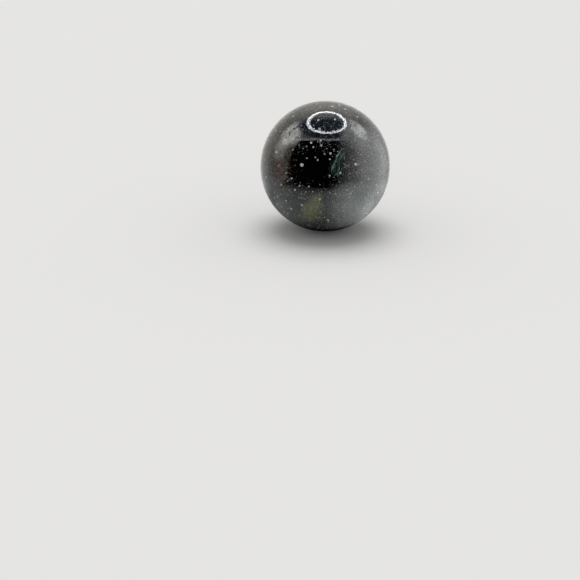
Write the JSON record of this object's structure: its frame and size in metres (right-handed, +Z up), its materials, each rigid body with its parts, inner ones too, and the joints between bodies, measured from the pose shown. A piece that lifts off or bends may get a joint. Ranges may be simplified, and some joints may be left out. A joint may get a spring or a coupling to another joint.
{
  "type": "glass marble",
  "caption": "Solid ball of dark glass with bright mica flecks and wisps of coloured glass fused in under its surface.",
  "frame": {"origin": "centre of the ball", "axes": "+Z up, -Y to the showing side, +X to the right of someone who looks at that side"},
  "size_m": [0.032, 0.032, 0.032],
  "materials": {
    "dark_glass": "polished black glass, clear near its surface",
    "mica": "pearly mica flakes inside the glass",
    "green_glass": "dark green glass strands",
    "olive_glass": "olive crushed glass, fused in",
    "brown_glass": "brown crushed glass, fused in"
  },
  "bodies": {
    "root": {"dark_glass": "dark_glass", "mica_flecks": "mica", "mica_dust": "mica", "green_wisp": "green_glass", "olive_frit": "olive_glass", "brown_frit": "brown_glass"}
  },
  "joints": []
}
